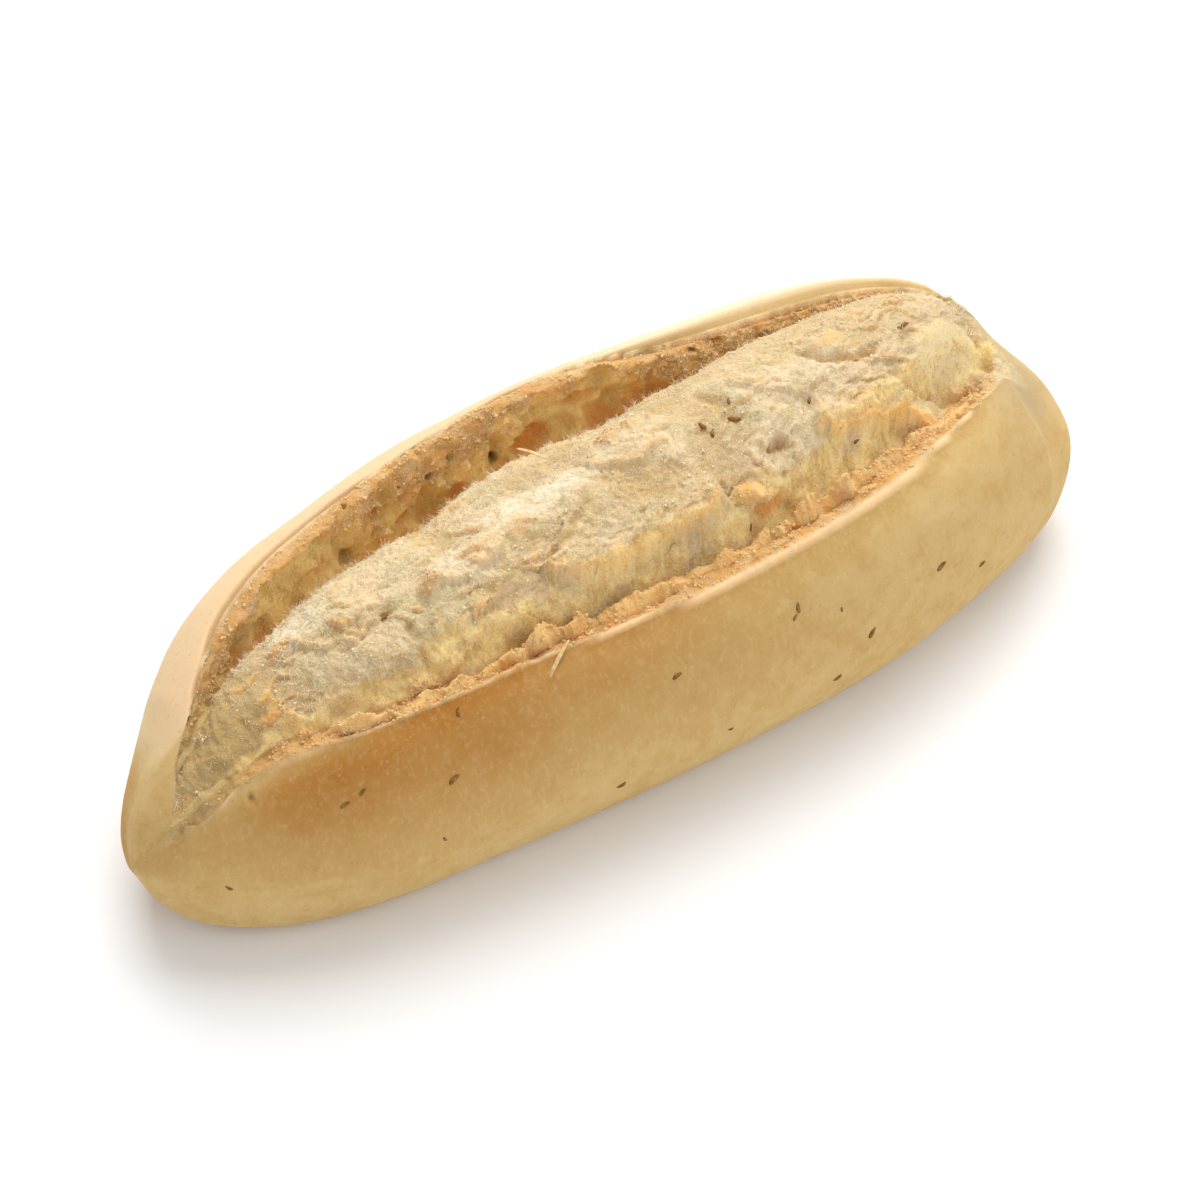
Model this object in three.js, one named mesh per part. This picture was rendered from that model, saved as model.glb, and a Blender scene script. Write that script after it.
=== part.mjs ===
// Anise bread: a small oval loaf, slit once along its top before baking.
//
// The crust is one smooth skin from the flat sole up to the two lips of the
// slit. Between the lips the crumb has burst out as a long mound. In front of
// the mound lies a narrow torn strip with a shallow ditch, and behind it a
// deep groove, whose far side is the torn wall under the back lip.
//
// Frame: +X along the loaf, +Y towards the deep groove, +Z up, with the origin
// under the middle of the loaf on the plane it rests on. Millimetres.

import * as THREE from 'three';

// ---- Driving dimensions ---------------------------------------------------

const LENGTH = 212;           // tip to tip
const TIP_HEIGHT = 19;        // the tips, and the widest line of the crust
const FRONT_LIP_HEIGHT = 45.5;
const BACK_LIP_HEIGHT = 50;
const BELLY = 1.6;            // how far the crust swells past its plan outline
const SOLE_LIFT_START = 0.72; // share of the half length where the sole lifts

// Profiles along the loaf. Each pair is a position, from -1 at the left tip
// to 1 at the right tip, and the value there.
const CENTRE_LINE = [[-1, -5], [-0.75, 0], [-0.4, 2], [0, 1], [0.4, -2], [0.75, -3.5], [1, -9]];
const HALF_WIDTH = [[-1, 25], [-0.75, 35], [-0.4, 38], [0, 40], [0.4, 38.5], [0.75, 37.5], [1, 36]];
// Shares of the half width, from the centre line.
const FRONT_LIP = [
  [-1, -0.45], [-0.93, -0.62], [-0.83, -0.59], [-0.75, -0.54], [-0.6, -0.63], [-0.45, -0.67],
  [-0.2, -0.685], [0.05, -0.69], [0.27, -0.665], [0.45, -0.625], [0.6, -0.575], [0.72, -0.505],
  [0.8, -0.4], [0.88, -0.22], [1, 0],
];
const BACK_LIP = [
  [-1, 0.1], [-0.93, 0.05], [-0.86, 0.1], [-0.75, 0.34], [-0.63, 0.49], [-0.47, 0.58], [-0.1, 0.72],
  [0.1, 0.74], [0.4, 0.735], [0.6, 0.73], [0.8, 0.77], [0.9, 0.77], [1, 0.6],
];
// Millimetres over the even arch of the back lip: it swells towards one tip,
// then drops where it is torn off.
const BACK_SWELL = [
  [-1, 0], [0.55, 0], [0.75, 0.8], [0.84, 1.6], [0.9, 1], [0.93, -2.5], [0.96, -3], [1, 0],
];
const SLIT_OPENING = [
  [-1, 0], [-0.95, 0.12], [-0.85, 0.42], [-0.7, 0.8], [-0.45, 0.97], [0, 1], [0.5, 0.98], [0.74, 0.93],
  [0.82, 0.72], [0.88, 0.2], [0.92, 0], [1, 0],
];
const MOUND_RISE = [
  [-1, 0], [-0.9, 0.5], [-0.75, 2.2], [-0.5, 5.5], [-0.2, 8], [0.1, 9], [0.4, 10], [0.65, 9.5],
  [0.8, 8], [0.9, 6], [1, 0],
];
const GROOVE_DEPTH = [
  [-1, 0], [-0.9, 1], [-0.75, 7], [-0.55, 13], [-0.3, 16], [0, 15], [0.25, 12], [0.45, 7], [0.6, 5],
  [0.85, 4], [1, 0],
];
const DITCH_DEPTH = [
  [-1, 0], [-0.85, 1], [-0.6, 3], [-0.2, 4.5], [0.2, 5], [0.6, 5.5], [0.8, 3], [0.92, 1], [1, 0],
];
// Shares of the way from the front lip to the back lip.
const WALL_FOOT = [[-1, 0.15], [-0.6, 0.1], [0, 0.085], [0.5, 0.09], [0.75, 0.14], [1, 0.2]];
const MOUND_FRONT = [
  [-1, 0.17], [-0.7, 0.19], [-0.45, 0.185], [-0.2, 0.165], [0.15, 0.17], [0.3, 0.2], [0.45, 0.24],
  [0.6, 0.27], [0.8, 0.34], [1, 0.36],
];
const MOUND_BACK = [
  [-1, 0.75], [-0.8, 0.78], [-0.2, 0.785], [0.1, 0.8], [0.35, 0.83], [0.6, 0.85], [1, 0.86],
];
// How the mound falls at its back: over which share of the way, and from what
// share of its rise.
const MOUND_FALL = [[-1, 0.12], [0.1, 0.12], [0.35, 0.08], [0.6, 0.05], [1, 0.05]];
const MOUND_SHOULDER = [[-1, 0.62], [0.1, 0.62], [0.35, 0.68], [0.6, 0.7], [1, 0.7]];
// Share of the way from the mound to the back lip that the groove takes.
const GROOVE_WIDTH = [[-1, 1], [0.3, 1], [0.5, 0.6], [0.65, 0.45], [1, 0.45]];

// Fineness of the faceted solid.
const STATIONS = 64;
const SAMPLES = {
  sole: 1, crust: 3, lip: 2, crumb: 2,
};

const CRUST_COLOUR = 0xd9ad70;

// ---- Helpers --------------------------------------------------------------

const clamp = (value, low, high) => Math.min(high, Math.max(low, value));
const mix = (a, b, share) => a + (b - a) * share;

// Slope of a profile at one of its pairs, from the pairs on either side.
function slopeAt(profile, i) {
  const [x, y] = profile[i];
  const [xBefore, yBefore] = profile[Math.max(i - 1, 0)];
  const [xAfter, yAfter] = profile[Math.min(i + 1, profile.length - 1)];
  const before = x - xBefore;
  const after = xAfter - x;
  if (before === 0) return (yAfter - y) / after;
  if (after === 0) return (y - yBefore) / before;
  const rise = before * before * yAfter + (after * after - before * before) * y - after * after * yBefore;
  return rise / (before * after * (before + after));
}

// Smooth curve through the pairs of a profile.
function along(profile, s) {
  let i = 0;
  while (i < profile.length - 2 && s >= profile[i + 1][0]) i += 1;
  const [x0, y0] = profile[i];
  const [x1, y1] = profile[i + 1];
  const width = x1 - x0;
  const t = clamp((s - x0) / width, 0, 1);
  return (2 * t ** 3 - 3 * t ** 2 + 1) * y0
    + (t ** 3 - 2 * t ** 2 + t) * width * slopeAt(profile, i)
    + (-2 * t ** 3 + 3 * t ** 2) * y1
    + (t ** 3 - t ** 2) * width * slopeAt(profile, i + 1);
}

// Blunt rounding towards both tips: 1 in the middle, 0 at -1 and 1.
const rounding = (s, power, root) => Math.max(1 - Math.abs(s) ** power, 0) ** (1 / root);

// ---- Cross-section --------------------------------------------------------

// Control points of the closed section at position s, running from the middle
// of the sole up the front, over the slit and down the back.
function sectionControls(s) {
  const plan = rounding(s, 3.1, 2.1);
  const height = rounding(s, 4.6, 1.9);

  const middle = along(CENTRE_LINE, s);
  const reach = along(HALF_WIDTH, s) * plan;
  const front = middle - reach;
  const back = middle + reach;
  const frontLip = middle + reach * along(FRONT_LIP, s);
  const backLip = middle + reach * along(BACK_LIP, s);

  const lift = clamp((Math.abs(s) - SOLE_LIFT_START) / (1 - SOLE_LIFT_START), 0, 1);
  const floor = TIP_HEIGHT * (1 - Math.sqrt(Math.max(1 - lift ** 2.2, 0)));
  const frontTop = mix(TIP_HEIGHT, FRONT_LIP_HEIGHT, height);
  const backTop = mix(TIP_HEIGHT, BACK_LIP_HEIGHT, height) + along(BACK_SWELL, s);

  const opening = clamp(along(SLIT_OPENING, s), 0, 1);
  const mound = along(MOUND_RISE, s) * opening;
  const groove = along(GROOVE_DEPTH, s) * opening;
  const ditch = along(DITCH_DEPTH, s) * opening;
  const foot = along(WALL_FOOT, s);
  const crest = along(MOUND_FRONT, s);
  const fringe = along(MOUND_BACK, s);
  const shoulder = fringe - along(MOUND_FALL, s);
  const grooveWidth = along(GROOVE_WIDTH, s);

  // A point between the lips: a share of the way across, and a height over
  // the straight line from lip to lip.
  const between = (share, over) => [mix(frontLip, backLip, share), mix(frontTop, backTop, share) + over];
  const pastFringe = (share) => mix(fringe, 1, share * grooveWidth);

  return [
    { at: [middle, floor], samples: SAMPLES.sole },
    { at: [mix(middle, front, 0.5), floor], samples: SAMPLES.crust },
    { at: [mix(middle, front, 0.82), floor], samples: SAMPLES.crust },
    { at: [mix(middle, front, 0.97), mix(floor, TIP_HEIGHT, 0.3)], samples: SAMPLES.crust },
    { at: [front - BELLY * plan, mix(TIP_HEIGHT, frontTop, 0.05)], samples: SAMPLES.crust },
    { at: [mix(front, frontLip, 0.08), mix(TIP_HEIGHT, frontTop, 0.55)], samples: SAMPLES.crust },
    { at: [mix(front, frontLip, 0.52), mix(frontTop, TIP_HEIGHT, 0.1)], samples: SAMPLES.crust },
    { at: [frontLip, frontTop + 0.6 * opening], samples: SAMPLES.lip },
    { at: [frontLip, frontTop + 0.6 * opening], samples: SAMPLES.lip },
    { at: between(0.5 * foot, -0.4 * opening), samples: SAMPLES.crumb },
    { at: between(foot, -ditch), samples: SAMPLES.crumb },
    { at: between(mix(foot, crest, 0.5), -0.6 * ditch), samples: SAMPLES.crumb },
    { at: between(crest, 0.55 * mound), samples: SAMPLES.crumb },
    { at: between(mix(crest, shoulder, 0.22), 0.95 * mound), samples: SAMPLES.crumb },
    { at: between(mix(crest, shoulder, 0.56), 1.05 * mound), samples: SAMPLES.crumb },
    { at: between(shoulder, along(MOUND_SHOULDER, s) * mound), samples: SAMPLES.crumb },
    { at: between(fringe, -0.02 * mound - 0.1 * groove), samples: SAMPLES.crumb },
    { at: between(pastFringe(0.09), -groove), samples: SAMPLES.crumb },
    { at: between(pastFringe(0.53), -1.05 * groove), samples: SAMPLES.crumb },
    { at: between(pastFringe(0.74), -0.25 * groove), samples: SAMPLES.crumb },
    { at: between(pastFringe(0.77), -1.2 * opening), samples: SAMPLES.crumb },
    { at: [backLip, backTop + 0.6 * opening], samples: SAMPLES.lip },
    { at: [backLip, backTop + 0.6 * opening], samples: SAMPLES.crust },
    { at: [mix(back, backLip, 0.5), mix(backTop, TIP_HEIGHT, 0.08)], samples: SAMPLES.crust },
    { at: [mix(back, backLip, 0.06), mix(TIP_HEIGHT, backTop, 0.55)], samples: SAMPLES.crust },
    { at: [back + BELLY * plan, mix(TIP_HEIGHT, backTop, 0.05)], samples: SAMPLES.crust },
    { at: [mix(middle, back, 0.97), mix(floor, TIP_HEIGHT, 0.3)], samples: SAMPLES.crust },
    { at: [mix(middle, back, 0.82), floor], samples: SAMPLES.crust },
    { at: [mix(middle, back, 0.5), floor], samples: SAMPLES.sole },
  ];
}

// Points of the closed uniform cubic B-spline over the controls.
function sectionPoints(s) {
  const controls = sectionControls(s);
  const count = controls.length;
  const points = [];
  for (let k = 0; k < count; k += 1) {
    const four = [-1, 0, 1, 2].map((step) => controls[(k + step + count) % count].at);
    for (let i = 0; i < controls[k].samples; i += 1) {
      const t = i / controls[k].samples;
      const weights = [
        (1 - t) ** 3 / 6,
        (3 * t ** 3 - 6 * t ** 2 + 4) / 6,
        (-3 * t ** 3 + 3 * t ** 2 + 3 * t + 1) / 6,
        t ** 3 / 6,
      ];
      const y = weights.reduce((sum, weight, n) => sum + weight * four[n][0], 0);
      const z = weights.reduce((sum, weight, n) => sum + weight * four[n][1], 0);
      points.push([y, z]);
    }
  }
  return points;
}

// ---- Solid ----------------------------------------------------------------

// Skin over the sections from tip to tip. The stations crowd towards the tips
// and each end closes on one point.
function loafGeometry() {
  const positions = [];
  const faces = [];
  const halfLength = LENGTH / 2;
  const around = sectionPoints(0).length;

  for (let i = 1; i < STATIONS; i += 1) {
    const s = -Math.cos((Math.PI * i) / STATIONS);
    for (const [y, z] of sectionPoints(s)) positions.push(halfLength * s, y, z);
  }
  const rings = STATIONS - 1;
  const leftTip = rings * around;
  const rightTip = leftTip + 1;
  positions.push(-halfLength, along(CENTRE_LINE, -1), TIP_HEIGHT);
  positions.push(halfLength, along(CENTRE_LINE, 1), TIP_HEIGHT);

  for (let j = 0; j < around; j += 1) {
    const next = (j + 1) % around;
    faces.push(leftTip, j, next);
    for (let i = 0; i < rings - 1; i += 1) {
      const a = i * around + j;
      const b = i * around + next;
      faces.push(a, a + around, b);
      faces.push(b, a + around, b + around);
    }
    const last = (rings - 1) * around;
    faces.push(rightTip, last + next, last + j);
  }

  const geometry = new THREE.BufferGeometry();
  geometry.setAttribute('position', new THREE.Float32BufferAttribute(positions, 3));
  geometry.setIndex(faces);

  // Stand the loaf over the origin, with the sole on z = 0.
  geometry.computeBoundingBox();
  const centre = geometry.boundingBox.getCenter(new THREE.Vector3());
  geometry.translate(-centre.x, -centre.y, -geometry.boundingBox.min.z);
  geometry.computeVertexNormals();
  return geometry;
}

const crust = new THREE.MeshStandardMaterial({ color: CRUST_COLOUR, roughness: 0.75, metalness: 0 });
const loaf = new THREE.Mesh(loafGeometry(), crust);
loaf.name = 'loaf';

const bread = new THREE.Group();
bread.add(loaf);

export default bread;
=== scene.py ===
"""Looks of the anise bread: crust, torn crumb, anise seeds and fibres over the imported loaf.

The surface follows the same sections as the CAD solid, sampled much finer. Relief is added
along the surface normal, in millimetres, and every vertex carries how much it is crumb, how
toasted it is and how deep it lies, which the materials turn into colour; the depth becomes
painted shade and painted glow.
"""

import itertools
import math
from types import SimpleNamespace

import bpy
import numpy as np
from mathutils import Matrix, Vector


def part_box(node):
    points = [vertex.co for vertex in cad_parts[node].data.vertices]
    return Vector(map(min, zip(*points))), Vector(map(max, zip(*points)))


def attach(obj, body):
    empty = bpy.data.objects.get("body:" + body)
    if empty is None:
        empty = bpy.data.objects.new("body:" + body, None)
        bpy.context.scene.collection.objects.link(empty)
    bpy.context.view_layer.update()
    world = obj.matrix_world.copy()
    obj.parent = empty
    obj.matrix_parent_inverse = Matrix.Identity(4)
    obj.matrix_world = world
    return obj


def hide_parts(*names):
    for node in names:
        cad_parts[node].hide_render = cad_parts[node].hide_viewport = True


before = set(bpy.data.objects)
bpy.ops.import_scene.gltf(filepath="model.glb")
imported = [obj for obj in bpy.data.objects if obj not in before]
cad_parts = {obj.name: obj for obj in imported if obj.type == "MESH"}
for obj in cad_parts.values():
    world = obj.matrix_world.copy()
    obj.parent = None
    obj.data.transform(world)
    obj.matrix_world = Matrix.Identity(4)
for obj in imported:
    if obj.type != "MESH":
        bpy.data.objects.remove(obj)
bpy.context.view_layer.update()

MM = 0.001

# ---- Named sizes of the loaf, in millimetres --------------------------------------------

LENGTH = 212.0
TIP_HEIGHT = 19.0
FRONT_LIP_HEIGHT = 45.5
BACK_LIP_HEIGHT = 50.0
BELLY = 1.6
SOLE_LIFT_START = 0.72
MELT_PASSES = 14
# Power and root of the rounding towards the tips, seen from above and from the side.
PLAN_ROUNDING = (3.1, 2.1)
SIDE_ROUNDING = (4.6, 1.9)

# Profiles along the loaf: position from -1 (left tip) to 1 (right tip), and the value there.
CENTRE_LINE = [(-1, -5), (-0.75, 0), (-0.4, 2), (0, 1), (0.4, -2), (0.75, -3.5), (1, -9)]
HALF_WIDTH = [(-1, 25), (-0.75, 35), (-0.4, 38), (0, 40), (0.4, 38.5), (0.75, 37.5), (1, 36)]
# Shares of the half width, from the centre line.
FRONT_LIP = [
    (-1, -0.45), (-0.93, -0.62), (-0.83, -0.59), (-0.75, -0.54), (-0.6, -0.63), (-0.45, -0.67),
    (-0.2, -0.685), (0.05, -0.69), (0.27, -0.665), (0.45, -0.625), (0.6, -0.575), (0.72, -0.505),
    (0.8, -0.4), (0.88, -0.22), (1, 0),
]
BACK_LIP = [
    (-1, 0.1), (-0.93, 0.05), (-0.86, 0.1), (-0.75, 0.34), (-0.63, 0.49), (-0.47, 0.58),
    (-0.1, 0.72), (0.1, 0.74), (0.4, 0.735), (0.6, 0.73), (0.8, 0.77), (0.9, 0.77), (1, 0.6),
]
# Millimetres over the even arch of the back lip: it swells, then drops where it is torn off.
BACK_SWELL = [
    (-1, 0), (0.55, 0), (0.75, 0.8), (0.84, 1.6), (0.9, 1), (0.93, -2.5), (0.96, -3), (1, 0),
]
SLIT_OPENING = [
    (-1, 0), (-0.95, 0.12), (-0.85, 0.42), (-0.7, 0.8), (-0.45, 0.97), (0, 1),
    (0.5, 0.98), (0.74, 0.93), (0.82, 0.72), (0.88, 0.2), (0.92, 0), (1, 0),
]
MOUND_RISE = [
    (-1, 0), (-0.9, 0.5), (-0.75, 2.2), (-0.5, 5.5), (-0.2, 8), (0.1, 9),
    (0.4, 10), (0.65, 9.5), (0.8, 8), (0.9, 6), (1, 0),
]
GROOVE_DEPTH = [
    (-1, 0), (-0.9, 1), (-0.75, 7), (-0.55, 13), (-0.3, 16), (0, 15),
    (0.25, 12), (0.45, 7), (0.6, 5), (0.85, 4), (1, 0),
]
DITCH_DEPTH = [
    (-1, 0), (-0.85, 1), (-0.6, 3), (-0.2, 4.5), (0.2, 5), (0.6, 5.5), (0.8, 3), (0.92, 1), (1, 0),
]
# Shares of the way from the front lip to the back lip.
WALL_FOOT = [(-1, 0.15), (-0.6, 0.1), (0, 0.085), (0.5, 0.09), (0.75, 0.14), (1, 0.2)]
MOUND_FRONT = [
    (-1, 0.17), (-0.7, 0.19), (-0.45, 0.185), (-0.2, 0.165), (0.15, 0.17), (0.3, 0.2), (0.45, 0.24),
    (0.6, 0.27), (0.8, 0.34), (1, 0.36),
]
MOUND_BACK = [(-1, 0.75), (-0.8, 0.78), (-0.2, 0.785), (0.1, 0.8), (0.35, 0.83), (0.6, 0.85), (1, 0.86)]
# How fast the mound falls at its back: over which share of the way, and from what share of its rise.
MOUND_FALL = [(-1, 0.12), (0.1, 0.12), (0.35, 0.08), (0.6, 0.05), (1, 0.05)]
MOUND_SHOULDER = [(-1, 0.62), (0.1, 0.62), (0.35, 0.68), (0.6, 0.7), (1, 0.7)]
# Share of the way from the mound to the back lip that the groove takes.
GROOVE_WIDTH = [(-1, 1), (0.3, 1), (0.5, 0.6), (0.65, 0.45), (1, 0.45)]

# ---- Helpers ----------------------------------------------------------------------------


def mix(a, b, share):
    return a + (b - a) * share


def smooth(low, high, value):
    """0 below low, 1 above high, and a smooth step between."""
    t = np.clip((value - low) / (high - low), 0, 1)
    return t * t * (3 - 2 * t)


def window(value, low, full, fading, gone):
    """0 up to low, 1 from full to fading, and 0 again past gone."""
    return smooth(low, full, value) * (1 - smooth(fading, gone, value))


def band(low, high, value, soft=0.3):
    """1 between low and high, with soft edges."""
    return window(value, low - soft, low + soft, high - soft, high + soft)


def peak(value, middle, width):
    """A bell that is 1 at the middle."""
    return np.exp(-(((value - middle) / width) ** 2))


def unit(vectors):
    """The vectors at length 1."""
    return vectors / np.linalg.norm(vectors, axis=-1, keepdims=True)


def along(profile, s):
    """Smooth curve through the pairs of a profile."""
    x, y = np.array(profile, float).T
    slope = np.gradient(y, x)
    i = np.clip(np.searchsorted(x, s, side="right") - 1, 0, len(x) - 2)
    width = x[i + 1] - x[i]
    t = np.clip((s - x[i]) / width, 0, 1)
    return (
        (2 * t**3 - 3 * t**2 + 1) * y[i]
        + (t**3 - 2 * t**2 + t) * width * slope[i]
        + (-2 * t**3 + 3 * t**2) * y[i + 1]
        + (t**3 - t**2) * width * slope[i + 1]
    )


def rounding(s, power, root):
    """Blunt rounding towards both tips: 1 in the middle, 0 at -1 and 1."""
    return np.maximum(1 - np.abs(s) ** power, 0) ** (1 / root)


# ---- Noise ------------------------------------------------------------------------------

# The noise repeats after this many cells, far more than the loaf spans at any size used.
PERIOD = 256
RANDOM = np.random.default_rng(7)
SHUFFLE = np.tile(RANDOM.permutation(PERIOD), 3)
GRADIENTS = unit(RANDOM.normal(size=(PERIOD, 3)))
JITTER = RANDOM.random((PERIOD, 3))


def cell_number(cell):
    """A random but fixed number from 0 to PERIOD - 1 for each cell of the unit grid."""
    x, y, z = (cell % PERIOD).T
    return SHUFFLE[SHUFFLE[SHUFFLE[x] + y] + z]


def noise(points, seed=0):
    """Gradient noise of unit scale at points (n, 3), about -1 to 1."""
    points = points + seed * 17.31
    cell = np.floor(points).astype(int)
    part = points - cell
    ease = part**3 * (part * (part * 6 - 15) + 10)
    total = 0
    for step in itertools.product((0, 1), repeat=3):
        gradient = GRADIENTS[cell_number(cell + step)]
        weight = np.prod(np.where(step, ease, 1 - ease), axis=1)
        total = total + weight * np.einsum("ij,ij->i", gradient, part - step)
    return total * 1.6


def rough(points, octaves=3, seed=0, gain=0.5):
    """Sum of noise octaves, about -1 to 1."""
    total = 0
    size = 1.0
    for octave in range(octaves):
        total = total + size * noise(points * 2.03**octave, seed + octave)
        size *= gain
    return total


def puffs(points, octaves=3, seed=0):
    """Rounded swellings with sharp valleys between them, 0 to about 1."""
    total = 0
    size = 1.0
    for octave in range(octaves):
        total = total + size * np.abs(noise(points * 2.1**octave, seed + octave))
        size *= 0.5
    return total / 1.4


def cells(points, seed=0):
    """Distance to the nearest of one random spot in each unit cell."""
    points = points + seed * 9.7
    cell = np.floor(points).astype(int)
    best = np.full(len(points), 9.0)
    for step in itertools.product((-1, 0, 1), repeat=3):
        beside = cell + step
        spot = beside + JITTER[cell_number(beside)]
        best = np.minimum(best, np.sum((spot - points) ** 2, axis=1))
    return np.sqrt(best)


# ---- Base surface -----------------------------------------------------------------------


def section_controls(s):
    """Control points (y, z) of the closed section at each position of s."""
    plan = rounding(s, *PLAN_ROUNDING)
    height = rounding(s, *SIDE_ROUNDING)

    def at(*profiles):
        return (along(profile, s) for profile in profiles)

    middle, half_width = at(CENTRE_LINE, HALF_WIDTH)
    front_share, back_share, swell = at(FRONT_LIP, BACK_LIP, BACK_SWELL)
    reach = half_width * plan
    front = middle - reach
    back = middle + reach
    front_lip = middle + reach * front_share
    back_lip = middle + reach * back_share

    lift = np.clip((np.abs(s) - SOLE_LIFT_START) / (1 - SOLE_LIFT_START), 0, 1)
    floor = TIP_HEIGHT * (1 - np.sqrt(np.maximum(1 - lift**2.2, 0)))
    front_top = mix(TIP_HEIGHT, FRONT_LIP_HEIGHT, height)
    back_top = mix(TIP_HEIGHT, BACK_LIP_HEIGHT, height) + swell

    opening = np.clip(along(SLIT_OPENING, s), 0, 1)
    mound, groove, ditch = (size * opening for size in at(MOUND_RISE, GROOVE_DEPTH, DITCH_DEPTH))
    foot, crest, fringe, groove_width = at(WALL_FOOT, MOUND_FRONT, MOUND_BACK, GROOVE_WIDTH)
    fall, shoulder_rise = at(MOUND_FALL, MOUND_SHOULDER)
    shoulder = fringe - fall

    def sole(edge):
        return [
            (mix(middle, edge, 0.5), floor),
            (mix(middle, edge, 0.82), floor),
            (mix(middle, edge, 0.97), mix(floor, TIP_HEIGHT, 0.3)),
        ]

    def between(share, over):
        return mix(front_lip, back_lip, share), mix(front_top, back_top, share) + over

    def past_fringe(share):
        return mix(fringe, 1, share * groove_width)

    controls = [
        (middle, floor),
        *sole(front),
        (front - BELLY * plan, mix(TIP_HEIGHT, front_top, 0.05)),
        (mix(front, front_lip, 0.08), mix(TIP_HEIGHT, front_top, 0.55)),
        (mix(front, front_lip, 0.52), mix(front_top, TIP_HEIGHT, 0.1)),
        (front_lip, front_top + 0.6 * opening),
        (front_lip, front_top + 0.6 * opening),
        between(0.5 * foot, -0.4 * opening),
        between(foot, -ditch),
        between(mix(foot, crest, 0.5), -0.6 * ditch),
        between(crest, 0.55 * mound),
        between(mix(crest, shoulder, 0.22), 0.95 * mound),
        between(mix(crest, shoulder, 0.56), 1.05 * mound),
        between(shoulder, shoulder_rise * mound),
        between(fringe, -0.02 * mound - 0.1 * groove),
        between(past_fringe(0.09), -groove),
        between(past_fringe(0.53), -1.05 * groove),
        between(past_fringe(0.74), -0.25 * groove),
        between(past_fringe(0.77), -1.2 * opening),
        (back_lip, back_top + 0.6 * opening),
        (back_lip, back_top + 0.6 * opening),
        (mix(back, back_lip, 0.5), mix(back_top, TIP_HEIGHT, 0.08)),
        (mix(back, back_lip, 0.06), mix(TIP_HEIGHT, back_top, 0.55)),
        (back + BELLY * plan, mix(TIP_HEIGHT, back_top, 0.05)),
        *reversed(sole(back)),
    ]
    controls = np.stack([np.stack(pair, axis=-1) for pair in controls], axis=1)

    # Where the loaf isn't slit, the lips melt into a plain round back.
    number = np.arange(controls.shape[1])
    upper = window(number, 4, 7, 22, 25)
    closed = 1 - smooth(0.05, 0.5, opening)
    for _ in range(MELT_PASSES):
        beside = (np.roll(controls, 1, axis=1) + np.roll(controls, -1, axis=1)) / 2
        controls = mix(controls, beside, 0.5 * closed[:, None, None] * upper[None, :, None])
    return controls, opening


def spline_weights(t):
    """Weights of the four controls around a place t past the second of them."""
    return (
        (1 - t) ** 3 / 6,
        (3 * t**3 - 6 * t**2 + 4) / 6,
        (-3 * t**3 + 3 * t**2 + 3 * t + 1) / 6,
        t**3 / 6,
    )


def sampled(controls, counts):
    """Closed cubic B-spline over the controls: points (stations, samples, 2) and where they lie."""
    pieces = []
    place = []
    total = len(counts)
    for k, count in enumerate(counts):
        t = np.arange(count) / count
        pieces.append(sum(
            weight[None, :, None] * controls[:, None, (k + step) % total]
            for weight, step in zip(spline_weights(t), (-1, 0, 1, 2))
        ))
        place.append(k + t)
    return np.concatenate(pieces, axis=1), np.concatenate(place)


def centring():
    """How far the sections move in y so that the loaf's box is centred on the origin."""
    controls, _ = section_controls(np.linspace(-0.95, 0.95, 191))
    section, _ = sampled(controls, [4] * controls.shape[1])
    low, high = (corner[1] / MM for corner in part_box("loaf"))
    return (low + high - section[..., 0].min() - section[..., 0].max()) / 2


CENTRING = centring()


def spots(x, k):
    """Points of the plain loaf at lengths x in mm and places k around the section."""
    controls, _ = section_controls(x / (LENGTH / 2))
    first = np.floor(k).astype(int)
    section = sum(
        weight[:, None] * controls[np.arange(len(x)), (first + step) % controls.shape[1]]
        for weight, step in zip(spline_weights(k - first), (-1, 0, 1, 2))
    )
    return np.column_stack([x, section[:, 0] + CENTRING, section[:, 1]])


# Places around the section, as control numbers.
FRONT_EDGE = 7.5
BACK_EDGE = 21.5


def stations(spacing, tip_share=0.06):
    """Positions from -1 to 1, even in the middle and crowding at the tips."""
    start = 1 - tip_share
    length = start + tip_share * math.pi / 2
    count = int(2 * length * LENGTH / 2 / spacing)
    u = np.linspace(-length, length, count)[1:-1]
    beyond = np.clip(np.abs(u) - start, 0, None)
    return np.sign(u) * (np.minimum(np.abs(u), start) + tip_share * np.sin(beyond / tip_share))


def base_surface(spacing):
    """The loaf before relief: grids of x, y, z in mm, place around, position along and opening."""
    s = stations(spacing)
    controls, opening = section_controls(s)
    middle = controls[len(s) // 2]
    reach = np.linalg.norm(np.roll(middle, -1, axis=0) - middle, axis=1)
    fine = np.array([FRONT_EDGE - 1 <= k < BACK_EDGE + 1 for k in range(len(middle))])
    counts = np.maximum(np.round(reach / np.where(fine, spacing, 4 * spacing)), 3).astype(int)
    section, place = sampled(controls, counts)
    x = np.broadcast_to((s * LENGTH / 2)[:, None, None], section.shape[:2] + (1,))
    points = np.concatenate([x, section], axis=2)
    points[..., 1] += CENTRING
    return points, place, s, opening


def grid_normals(points):
    """Unit normals of a grid whose second direction is closed."""
    run = np.gradient(points, axis=0)
    turn = np.roll(points, -1, axis=1) - np.roll(points, 1, axis=1)
    normals = np.cross(run, turn)
    return normals / np.maximum(np.linalg.norm(normals, axis=2, keepdims=True), 1e-9)


# ---- Relief -----------------------------------------------------------------------------

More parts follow.
